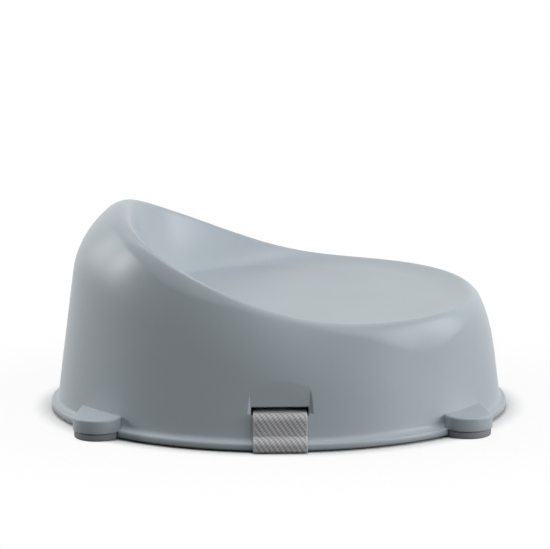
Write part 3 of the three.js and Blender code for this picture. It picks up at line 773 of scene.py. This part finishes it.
def fold_corners():
    """The surplus, folded to and fro."""
    corners = []
    turn = 0.499 * LAYER_PITCH
    for layer in range(FOLD_LAYERS - 1):
        level = FOLD_BOTTOM + layer * LAYER_PITCH
        end = STACK_END if layer % 2 == 0 else STACK_START + FOLD_STEP
        corners += [(end, level, turn), (end, level + LAYER_PITCH, turn)]
    return [*corners, (STACK_END - 2 * FOLD_STEP, FOLD_TOP)]


def loop_corners():
    """The sewn loop round the socket's bar, and the run that slides out with the socket."""
    bar_out = BAR_HEIGHT / 2 + TIGHT_BEND
    over, under = BUCKLE_LEVEL + bar_out, BUCKLE_LEVEL - bar_out
    sewn = -SOCKET_BAR - SLOPE_LENGTH
    return [
        (sewn - SEWN_LENGTH, TAIL_HEIGHT),
        (sewn, TAIL_HEIGHT, EASY_BEND),
        (-SOCKET_LENGTH - WALL, over, EASY_BEND / 2),
        (-SOCKET_BAR + TIGHT_BEND, over, TIGHT_BEND),
        (-SOCKET_BAR + TIGHT_BEND, under, TIGHT_BEND),
        (-SOCKET_LENGTH - WALL, under, EASY_BEND),
        (sewn, RUN_HEIGHT, EASY_BEND),
        (-LOOP_END - LOOP_OVERLAP, RUN_HEIGHT),
    ]


def strap_corners():
    """From inside the loop's run, out and in through both slots, to the folded surplus."""
    over = BUCKLE_LEVEL + BAR_HEIGHT / 2 + TIGHT_BEND
    return [
        (-LOOP_END, RUN_HEIGHT),
        *side_corners(-1),
        (0, SLOT_BOTTOM + TIGHT_BEND, RIM_EDGE),
        *reversed(side_corners(1)),
        (MIDDLE_BAR - TIGHT_BEND, RUN_HEIGHT, EDGE_BEND),
        (MIDDLE_BAR - TIGHT_BEND, over, EDGE_BEND),
        (END_SLOT + TIGHT_BEND, over, EDGE_BEND),
        (END_SLOT + TIGHT_BEND, TAIL_HEIGHT, EDGE_BEND),
        (PLUG_END + FOLD_STEP / 3, TAIL_HEIGHT, EASY_BEND),
        (STACK_START, FOLD_BOTTOM, EASY_BEND),
        *fold_corners(),
    ]


def line_curve(name, lines):
    """One curve of open lines through points in metres."""
    curve = bpy.data.curves.new(name, "CURVE")
    curve.dimensions = "3D"
    for line in lines:
        spline = curve.splines.new("POLY")
        spline.points.add(len(line) - 1)
        for point, place in zip(spline.points, line):
            point.co = (*place, 1)
    return curve


def webbing_tree(material):
    """A flat band with rounded edges swept along a path. Its UV map says how far across it and
    how far along it a place is, in metres. The sign turns the first of them round."""
    tree, given = new_tree("webbing along a path", {
        "Width": WEBBING * MM, "Thickness": WEB_THICKNESS * MM, "Edge Radius": 0.75 * MM,
        "Across": 3, "Across Sign": 1.0,
    })
    graph = given.graph
    travelled = graph.node("GeometryNodeSplineParameter")
    path = graph.node("GeometryNodeCaptureAttribute", {"domain": "POINT"})
    path.capture_items.new("FLOAT", "Travelled")
    graph.feed(path.inputs["Geometry"], given.geometry)
    graph.feed(path.inputs["Travelled"], travelled.outputs["Length"])
    section = graph.node("GeometryNodeCurvePrimitiveQuadrilateral", None, {
        "Width": given["Width"], "Height": given["Thickness"],
    })
    rounded = graph.node("GeometryNodeFilletCurve", {"mode": "POLY"}, {
        "Curve": section.outputs[0], "Radius": given["Edge Radius"], "Count": 4,
    })
    fine = graph.node("GeometryNodeSubdivideCurve", None, {
        "Curve": rounded.outputs[0], "Cuts": given["Across"],
    })
    profile = graph.node("GeometryNodeCaptureAttribute", {"domain": "POINT"})
    profile.capture_items.new("FLOAT", "Across")
    graph.feed(profile.inputs["Geometry"], fine.outputs[0])
    graph.feed(profile.inputs["Across"], graph.position()[0])
    band = graph.node("GeometryNodeCurveToMesh", None, {
        "Curve": path.outputs["Geometry"], "Profile Curve": profile.outputs["Geometry"],
        "Fill Caps": True,
    })
    spread = graph.node("ShaderNodeCombineXYZ", None, {
        0: Value(graph, profile.outputs["Across"]) * given["Across Sign"],
        1: path.outputs["Travelled"],
    })
    mapped = graph.node("GeometryNodeStoreNamedAttribute",
                        {"data_type": "FLOAT2", "domain": "CORNER"},
                        {"Geometry": band.outputs[0], "Name": "UVMap", "Value": spread.outputs[0]})
    end_tree(graph, mapped.outputs[0], material)
    return tree


def webbing(name, corners, material, cover=0, sign=1.0):
    """Webbing along corners, thicker and wider by its cover. Its sign is -1 where it sets out
    away from the buckle, so that its twill slants the same way as the loop's."""
    path = []
    points = bent_path(corners)
    for here, there in zip(points, points[1:]):
        pieces = max(1, round((there - here).length / 4))
        path += [here.lerp(there, k / pieces) for k in range(pieces)]
    path.append(points[-1])
    curve = line_curve(f"{name}_path", [[Vector((STRAP_PLACE, y, z)) * MM for y, z in path]])
    band = grown(name, webbing_tree(material), curve,
                 width=(WEBBING + cover) * MM, thickness=(WEB_THICKNESS + cover) * MM,
                 across_sign=sign)
    return smooth(band, 50)


def stitch_tree(material):
    """Short lengths of thread at an even pitch along seams."""
    tree, given = new_tree("stitches along seams", {
        "Pitch": 3.2 * MM, "Stitch Length": 2.6 * MM, "Thread": 0.36 * MM,
    })
    graph = given.graph
    spots = graph.node("GeometryNodeResampleCurve", {"mode": "LENGTH"}, {
        "Curve": given.geometry, "Length": given["Pitch"],
    })
    thread = graph.node("GeometryNodeMeshUVSphere", None, {
        "Segments": 10, "Rings": 8, "Radius": given["Thread"],
    })
    stretch = given["Stitch Length"] / given["Thread"] * 0.5
    size = graph.node("ShaderNodeCombineXYZ", None, {0: 1.0, 1: 1.0, 2: stretch})
    tangent = graph.node("GeometryNodeInputTangent")
    turn = graph.node("FunctionNodeAlignRotationToVector", {"axis": "Z"},
                      {"Vector": tangent.outputs[0]})
    sewn = graph.node("GeometryNodeInstanceOnPoints", None, {
        "Points": spots.outputs[0], "Instance": thread.outputs[0],
        "Rotation": turn.outputs[0], "Scale": size.outputs[0],
    })
    end_tree(graph, sewn.outputs[0], material)
    return tree


def seam_curve(name, level, low, high, half):
    """A sewn box with a cross in it, at one height."""
    a, b, c, d = [((STRAP_PLACE + x) * MM, y * MM, level * MM)
                  for x, y in ((-half, low), (half, low), (half, high), (-half, high))]
    return line_curve(name, [[a, b, c, d, a], [a, c], [b, d]])


def make_stitches(material):
    """The box that holds the loop round the socket's bar, on both faces of the webbing."""
    high = -SOCKET_BAR - SLOPE_LENGTH - SEAM_START
    low = high - SEWN_LENGTH + 2 * SEAM_MARGIN
    out = HALF_WEB + LOOP_COVER / 2 + THREAD_LIFT
    tree = stitch_tree(material)
    stitches = []
    for name, level in (("loop_stitches_below", RUN_HEIGHT - out),
                        ("loop_stitches_above", TAIL_HEIGHT + out)):
        seams = seam_curve(name, level, low, high, WEBBING / 2 - SEAM_MARGIN)
        stitches.append(smooth(grown(name, tree, seams), 60))
    return stitches


def keeper_tree(material):
    """An elastic loop: a rounded band swept round, with cords that run along it."""
    tree, given = new_tree("ribbed elastic loop", {
        "Loop Width": (WEBBING + 4 * CLEARANCE + KEEPER_THICKNESS) * MM,
        "Loop Height": (FOLD_TOP - RUN_HEIGHT + 2 * TIGHT_BEND + KEEPER_THICKNESS) * MM,
        "Band Width": KEEPER_WIDTH * MM, "Band Thickness": KEEPER_THICKNESS * MM,
        "Rib Depth": 0.16 * MM, "Rib Count": 9.0,
    })
    graph = given.graph
    loop = graph.node("GeometryNodeCurvePrimitiveQuadrilateral", None, {
        "Width": given["Loop Width"], "Height": given["Loop Height"],
    })
    soft = graph.node("GeometryNodeFilletCurve", {"mode": "POLY"}, {
        "Curve": loop.outputs[0], "Radius": 0.9 * MM, "Count": 6,
    })
    fine = graph.node("GeometryNodeSubdivideCurve", None, {"Curve": soft.outputs[0], "Cuts": 2})
    section = graph.node("GeometryNodeCurvePrimitiveQuadrilateral", None, {
        "Width": given["Band Thickness"], "Height": given["Band Width"],
    })
    rounded = graph.node("GeometryNodeFilletCurve", {"mode": "POLY"}, {
        "Curve": section.outputs[0], "Radius": given["Band Thickness"] * 0.4, "Count": 3,
    })
    points = graph.node("GeometryNodeResampleCurve", {"mode": "COUNT"}, {
        "Curve": rounded.outputs[0], "Count": 150,
    })
    depth, across, _ = graph.position()
    wave = (across / given["Band Width"] * given["Rib Count"] * (2 * math.pi)).math("COSINE")
    pressed = depth / (given["Band Thickness"] * 0.5) * given["Rib Depth"] * (wave - 1) * 0.5
    ribbed = graph.node("GeometryNodeSetPosition", None, {
        "Geometry": points.outputs[0],
        "Offset": graph.node("ShaderNodeCombineXYZ", None, {0: pressed}).outputs[0],
    })
    band = graph.node("GeometryNodeCurveToMesh", None, {
        "Curve": fine.outputs[0], "Profile Curve": ribbed.outputs[0],
    })
    end_tree(graph, band.outputs[0], material)
    return tree


def make_keeper(material):
    """The loop is made flat at the origin, then stood up round the webbing."""
    keeper = grown("elastic_keeper", keeper_tree(material))
    middle = (FOLD_TOP + RUN_HEIGHT) / 2
    place = Vector((STRAP_PLACE, STACK_END - KEEPER_PLACE, middle)) * MM
    keeper.data.transform(Matrix.Translation(place) @ Matrix.Rotation(math.pi / 2, 4, "X"))
    return smooth(keeper, 50)


# Rubber feet

def foot(name, side_x, side_y, material):
    """A pad with fine grip rings below, and the plug that holds it in the lug's cup."""
    pad = LUG_RADIUS - FOOT_INSET
    plug = LUG_RADIUS - LUG_WALL - CLEARANCE
    pad_top = FOOT_HEIGHT - CLEARANCE
    plug_top = pad_top + FOOT_PLUG
    middle, rounding, bevel = 0.4, 1.2, 0.5
    profile = [(middle, GROOVE), (3, GROOVE)]
    for radius in GRIP_RINGS:
        profile += [(radius - 0.6, GROOVE), (radius - 0.3, 0.1), (radius, 0), (radius + 1, 0),
                    (radius + 1.3, 0.1), (radius + 1.6, GROOVE)]
    profile.append((pad - rounding - 0.3, 0.3))
    for i in range(6):
        turn = i / 5 * math.pi / 2
        profile.append((pad - rounding * (1 - math.sin(turn)),
                        0.3 + rounding * (1 - math.cos(turn))))
    profile += [(pad, pad_top - bevel), (pad - bevel, pad_top), (plug, pad_top),
                (plug, plug_top - 1), (plug - 1, plug_top), (middle, plug_top)]
    return smooth(turned(name, profile, (side_x * LUG_X, side_y * LUG_Y), material), 50)


# Finishes

def new_finish(name):
    """An empty material with a Principled shader, and its graph."""
    material = bpy.data.materials.new(name)
    graph = emptied(material)
    shader = graph.node("ShaderNodeBsdfPrincipled")
    graph.node("ShaderNodeOutputMaterial", None, {"Surface": shader.outputs[0]})
    return material, graph, shader


def linear(red, green, blue):
    """A colour given as 0 to 255 on the screen, as the light it stands for."""
    def channel(value):
        share = value / 255
        return share / 12.92 if share <= 0.04045 else ((share + 0.055) / 1.055) ** 2.4
    return (channel(red), channel(green), channel(blue), 1)


def object_place(graph):
    return graph.node("ShaderNodeTexCoord").outputs["Object"]


def grain(graph, size_mm, detail):
    """Noise with grains of about a size, from 0 to 1."""
    return graph.of("ShaderNodeTexNoise", "Fac", None, {
        "Vector": object_place(graph), "Scale": 1 / (size_mm * MM), "Detail": detail,
    })


def blended(graph, share, low, high):
    """A colour between two others."""
    mix = graph.node("ShaderNodeMix", {"data_type": "RGBA"}, {"Factor": share})
    graph.feed(mix.inputs[6], low)
    graph.feed(mix.inputs[7], high)
    return mix.outputs[2]


def rounded_edges(graph, radius_mm):
    return graph.node("ShaderNodeBevel", {"samples": 6}, {"Radius": radius_mm * MM}).outputs[0]


def raised(graph, height, depth_mm, normal=None, strength=1.0):
    sockets = {"Height": height, "Distance": depth_mm * MM, "Strength": strength}
    if normal:
        sockets["Normal"] = normal
    return graph.node("ShaderNodeBump", None, sockets).outputs[0]


def moulded_plastic(name, colour, deeper, grain_mm=0.35, roughness=0.33, edge_mm=0.9):
    """Matt moulding with a fine eroded grain, and a slow drift of tone and gloss."""
    material, graph, shader = new_finish(name)
    drift = grain(graph, 60, 2)
    fine = grain(graph, grain_mm, 3)
    flow = grain(graph, 7, 2)
    graph.feed(shader.inputs["Base Color"],
               blended(graph, drift * 0.6 + flow * 0.2 + fine * 0.2, colour, deeper))
    graph.feed(shader.inputs["Roughness"], roughness - 0.04 + drift * 0.05 + fine * 0.06)
    graph.feed(shader.inputs["Normal"],
               raised(graph, fine, 0.02, rounded_edges(graph, edge_mm), 0.5))
    shader.inputs["IOR"].default_value = 1.49
    return material


def foot_rubber():
    """Soft matt rubber with a faint bloom of dust."""
    material, graph, shader = new_finish("soft_rubber")
    dust = grain(graph, 1.6, 4).between(0.45, 0.8)
    fine = grain(graph, 0.25, 2)
    graph.feed(shader.inputs["Base Color"],
               blended(graph, dust * 0.35, linear(136, 137, 140), linear(164, 165, 168)))
    graph.feed(shader.inputs["Roughness"], 0.72 + dust * 0.15)
    graph.feed(shader.inputs["Normal"], raised(graph, fine, 0.03, rounded_edges(graph, 0.3)))
    return material


def twill_webbing():
    """Woven twill: slanted ribs, each laid from short yarn floats, with bound edges. Where a
    place in millimetres is multiplied, the number is that of ribs or yarns to a millimetre."""
    material, graph, shader = new_finish("twill_webbing")
    across, along = [place / MM for place in
                     graph.axes(graph.node("ShaderNodeUVMap").outputs[0])[:2]]

    def wave(turns):
        return (turns * (2 * math.pi)).math("SINE") * 0.5 + 0.5

    wander = grain(graph, 9, 2) - 0.5
    slant = across * 0.25 + along * 0.17 + wander * 0.12
    rib = wave(slant) ** 0.8
    counter = wave(along * 0.42 - across * 0.34)
    weft = wave(along / 1.05)
    warp = wave((across + slant.math("FLOOR") * 0.45) / 1.15)
    yarn = warp * 0.25 + weft * 0.2 + counter * 0.55
    edge = across.math("ABSOLUTE").between(WEBBING / 2 - 1.6, WEBBING / 2 - 0.9)
    height = (rib * 0.45 + yarn * 0.55) * (1 - edge) + (weft * 0.4 + 0.45) * edge
    fibre = grain(graph, 0.16, 2)
    tone = (height * 0.9 + fibre * 0.2).between(-0.1, 1.15)
    graph.feed(shader.inputs["Base Color"],
               blended(graph, tone, linear(126, 126, 129), linear(222, 222, 225)))
    graph.feed(shader.inputs["Roughness"], 0.86 - rib * 0.12)
    graph.feed(shader.inputs["Normal"], raised(graph, height + fibre * 0.08, 0.28, None, 0.8))
    shader.inputs["Sheen Weight"].default_value = 0.15
    return material


def sewing_thread():
    """Twisted polyester thread, a little lighter than the webbing."""
    material, graph, shader = new_finish("sewing_thread")
    strand = graph.of("ShaderNodeTexWave", "Fac", {"bands_direction": "DIAGONAL"}, {
        "Vector": object_place(graph), "Scale": 900.0, "Distortion": 0.4,
    })
    graph.feed(shader.inputs["Base Color"],
               blended(graph, strand, linear(120, 122, 126), linear(186, 188, 192)))
    graph.feed(shader.inputs["Roughness"], 0.6 + strand * 0.1)
    graph.feed(shader.inputs["Normal"], raised(graph, strand, 0.05))
    return material


def covered_elastic():
    """Dark elastic: cords of covered rubber side by side, crossed by fine yarn."""
    material, graph, shader = new_finish("covered_elastic")
    fine = grain(graph, 0.3, 3)
    slow = grain(graph, 5, 2)
    graph.feed(shader.inputs["Base Color"],
               blended(graph, fine * 0.6 + slow * 0.4, linear(58, 60, 64), linear(112, 114, 118)))
    graph.feed(shader.inputs["Roughness"], 0.8 + fine * 0.1)
    graph.feed(shader.inputs["Normal"], raised(graph, fine, 0.12))
    return material


# Floor, lights and camera

FLOOR_HALF = 6000
FLOOR_DARK = (0.1, 0.1, 0.1, 1)
FLOOR_PALE = (0.95, 0.95, 0.95, 1)

# Painted shadow: the floor's glow is held back round the seat in two steps, over distances that
# count from the seat's middle to its base's edge as 1, and the first step takes most of it. There
# the matt floor shows the seat's real shadow, and it is greyer than the glow even where no shadow
# falls.
CONTACT = (1, 1.1)
CONTACT_SHARE = 0.88
FADE = (1.1, 2)
FADE_SHARE = 0.12

AIR = 0.05
LAMP_DISTANCE = 2
LAMP_AIM = 80
CAMERA_AIM = (-3.05, 0, 101.7)


def seen_rays(graph):
    """1 for what is seen, straight or in a gloss, and 0 for light that is thrown back."""
    path = graph.node("ShaderNodeLightPath")
    camera, glossy, clear = [Value(graph, path.outputs[f"Is {ray} Ray"])
                             for ray in ("Camera", "Glossy", "Transmission")]
    return camera.math("MAXIMUM", glossy).math("MAXIMUM", clear)


def stage_floor():
    """White where it is seen, but round the seat, where a painted shadow holds back the glow and
    the matt floor keeps the seat's real shadow, and dark in the light that it throws back. From
    below it is clear."""
    shape = bmesh.new()
    bmesh.ops.create_grid(shape, x_segments=1, y_segments=1, size=FLOOR_HALF)
    material = bpy.data.materials.new("stage_white")
    graph = emptied(material)
    seen = seen_rays(graph)
    x, y, _ = graph.axes(object_place(graph))
    along, across = x / (BASE_LENGTH / 2 * MM), y / (BASE_WIDTH / 2 * MM)
    away = (along * along + across * across) ** 0.5
    matt = graph.node("ShaderNodeBsdfPrincipled", None,
                      {"Roughness": 1.0, "Specular IOR Level": 0.0})
    graph.feed(matt.inputs["Base Color"], blended(graph, seen, FLOOR_DARK, FLOOR_PALE))
    glow = graph.node("ShaderNodeEmission", None, {"Color": (1, 1, 1, 1), "Strength": 1.0})
    # Painted shadow: the glow's share, held back in an ellipse round the seat's base
    glow_past_painted_shadow = away.between(*CONTACT) * CONTACT_SHARE + away.between(*FADE) * FADE_SHARE
    white = graph.node("ShaderNodeMixShader", None, {
        0: seen * glow_past_painted_shadow, 1: matt.outputs[0], 2: glow.outputs[0],
    })
    clear = graph.node("ShaderNodeBsdfTransparent")
    sheet = graph.node("ShaderNodeMixShader", None, {
        0: graph.of("ShaderNodeNewGeometry", "Backfacing"),
        1: white.outputs[0], 2: clear.outputs[0],
    })
    graph.node("ShaderNodeOutputMaterial", None, {"Surface": sheet.outputs[0]})
    from_bmesh("stage_floor", shape, material)


def softbox(name, azimuth, elevation, size, power):
    """A square lamp that faces the seat from LAMP_DISTANCE, with its angles in degrees, its size
    in metres and its power in watts. Azimuth 0 is the camera's side, and 90 the seat's front."""
    turn, rise = math.radians(azimuth), math.radians(elevation)
    aside = Vector((math.sin(turn), -math.cos(turn), 0)) * math.cos(rise)
    away = aside + Vector((0, 0, math.sin(rise)))
    light = bpy.data.lights.new(name, "AREA")
    light.shape = "SQUARE"
    light.size = size
    light.energy = power
    lamp = bpy.data.objects.new(name, light)
    lamp.location = Vector((0, 0, LAMP_AIM * MM)) + away * LAMP_DISTANCE
    lamp.rotation_euler = away.to_track_quat("Z", "Y").to_euler()
    bpy.context.scene.collection.objects.link(lamp)


def light_scene():
    softbox("overhead", 0, 88, 0.9, 14)
    softbox("front_end_key", 90, 14, 0.9, 12)
    softbox("near_front_key", 60, 14, 0.9, 12)
    softbox("near_fill_front", 30, 36, 0.9, 5)
    softbox("near_fill_back", -30, 36, 0.9, 2.4)
    softbox("back_end_key", -95, 16, 0.45, 8.4)
    softbox("back_shoulder_gloss", -118, 20, 0.9, 7)
    softbox("high_back", -135, 60, 0.9, 5)
    world = bpy.data.worlds.new("studio_air")
    graph = emptied(world)
    air = graph.node("ShaderNodeBackground", None, {
        "Color": (1, 1, 1, 1), "Strength": AIR + seen_rays(graph) * (1 - AIR),
    })
    graph.node("ShaderNodeOutputWorld", None, {"Surface": air.outputs[0]})
    bpy.context.scene.world = world


def set_camera():
    """The photograph's view: nearly from the side, a little above, from far away."""
    azimuth, elevation, distance = math.radians(-1.64), math.radians(12.44), 4.5
    back = Vector((math.sin(azimuth) * math.cos(elevation),
                   -math.cos(azimuth) * math.cos(elevation), math.sin(elevation)))
    data = bpy.data.cameras.new("photo_camera")
    data.lens = 389.6
    camera = bpy.data.objects.new("photo_camera", data)
    camera.location = Vector(CAMERA_AIM) * MM + back * distance
    camera.rotation_euler = back.to_track_quat("Z", "Y").to_euler()
    bpy.context.scene.collection.objects.link(camera)
    bpy.context.scene.camera = camera


# The booster seat, piece by piece

def dressed(node, material):
    """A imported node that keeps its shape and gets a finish."""
    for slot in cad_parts[node].material_slots:
        slot.material = material


def stands_for(piece, body, slot, *nodes):
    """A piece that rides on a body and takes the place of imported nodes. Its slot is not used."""
    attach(piece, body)
    if nodes:
        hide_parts(*nodes)


def build():
    plastic = moulded_plastic("matt_shell_plastic", linear(178, 188, 194), linear(168, 178, 185))
    buckle = moulded_plastic("satin_buckle_plastic", linear(104, 110, 115), linear(92, 98, 103),
                             grain_mm=0.25, roughness=0.34, edge_mm=0.35)
    rubber = foot_rubber()
    twill = twill_webbing()
    thread = sewing_thread()

    stands_for(make_shell(plastic), "seat", "shell_plastic", "seat_shell")
    for end, side_x in (("rear", -1), ("front", 1)):
        for hand, side_y in (("right", -1), ("left", 1)):
            node = f"foot_{end}_{hand}"
            pad = foot(f"grip_{node}", side_x, side_y, rubber)
            stands_for(pad, "seat", "foot_rubber", node)
    strap = webbing("webbing_strap", strap_corners(), twill, sign=-1.0)
    stands_for(strap, "seat", "webbing", "chair_strap")
    loop = webbing("webbing_loop", loop_corners(), twill, LOOP_COVER)
    for piece in (loop, *make_stitches(thread)):
        stands_for(piece, "socket", "webbing")
    stands_for(make_keeper(covered_elastic()), "keeper", "elastic", "strap_keeper")
    for node in ("buckle_socket", "buckle_plug", "release_prong_front", "release_prong_rear"):
        dressed(node, buckle)


bpy.context.scene.view_settings.view_transform = "Standard"
set_camera()
light_scene()
stage_floor()
build()
